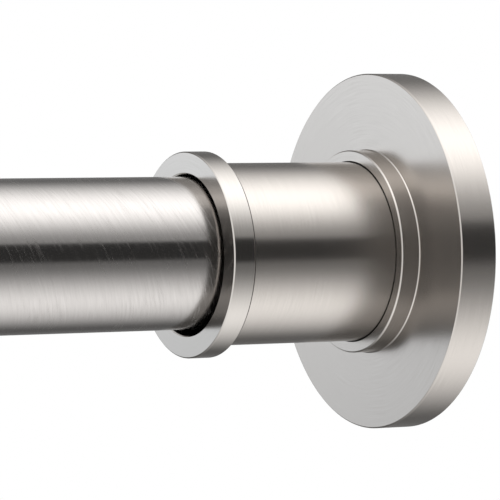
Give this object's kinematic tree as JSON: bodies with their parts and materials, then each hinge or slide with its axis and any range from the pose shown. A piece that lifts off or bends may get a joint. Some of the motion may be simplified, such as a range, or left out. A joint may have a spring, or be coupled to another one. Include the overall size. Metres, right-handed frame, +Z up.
{
  "type": "shower curtain rod",
  "caption": "Telescopic shower curtain rod held between two walls by a tension screw, with round stepped flange covers that slide along the tubes over rubber-faced feet.",
  "frame": {"origin": "centre of the left wall pad's face, on the left wall", "axes": "+X along the rod to the right wall, +Z up, -Y towards the side that the rod is seen from"},
  "size_m": [1.2192, 0.0604, 0.0604],
  "materials": {
    "brushed_nickel_tube": "brushed nickel",
    "brushed_nickel_inner": "brushed nickel",
    "satin_nickel_cover": "satin nickel",
    "polished_nickel_ring": "fine satin nickel with bright edges",
    "nickel_look_collar": "moulded, nickel-coloured",
    "acetal_lock": "moulded natural acetal",
    "zinc_plated_steel": "bright zinc plate",
    "black_moulding": "moulded, fine texture",
    "pad_rubber": "moulded rubber"
  },
  "bodies": {
    "thin_half": {"inner_tube": "brushed_nickel_inner", "foot_plug_left": "black_moulding", "wall_pad_left": "pad_rubber", "lock_core": "acetal_lock", "lock_washer": "zinc_plated_steel", "lock_screw": "zinc_plated_steel"},
    "thick_half": {"outer_tube": "brushed_nickel_tube", "mouth_collar": "nickel_look_collar", "end_nut": "black_moulding"},
    "cam": {"lock_cam": "acetal_lock"},
    "foot": {"foot_plate_right": "black_moulding", "foot_retainer": "zinc_plated_steel", "foot_screws": "zinc_plated_steel", "wall_pad_right": "pad_rubber"},
    "spindle": {"tension_spindle": "zinc_plated_steel"},
    "left_cover": {"cover_flange_left": "satin_nickel_cover", "cover_sleeve_left": "satin_nickel_cover", "cover_ring_left": "polished_nickel_ring"},
    "right_cover": {"cover_flange_right": "satin_nickel_cover", "cover_sleeve_right": "satin_nickel_cover", "cover_ring_right": "polished_nickel_ring"}
  },
  "joints": [
    {"name": "telescope", "type": "slide", "parent": "thin_half", "child": "thick_half", "axis": [1, 0, 0], "range_m": [-0.1016, 0.6096]},
    {"name": "cam_turn", "type": "hinge", "parent": "thin_half", "child": "cam", "pos_m": [0.9348, 0, 0.001], "axis": [1, 0, 0], "range_deg": [0, 28]},
    {"name": "foot_advance", "type": "slide", "parent": "thick_half", "child": "foot", "axis": [1, 0, 0], "range_m": [-0.002, 0.015]},
    {"name": "spindle_turn", "type": "hinge", "parent": "foot", "child": "spindle", "pos_m": [1.2068, 0, 0], "axis": [1, 0, 0], "range_deg": [-240, 1800]},
    {"name": "right_cover_slide", "type": "slide", "parent": "foot", "child": "right_cover", "axis": [-1, 0, 0], "range_m": [0, 0.985]},
    {"name": "left_cover_slide", "type": "slide", "parent": "thin_half", "child": "left_cover", "axis": [1, 0, 0], "range_m": [0, 0.03]}
  ],
  "couplings": [
    {"joint": "spindle_turn", "follows": "foot_advance", "rad_per_m": 2094.4}
  ]
}
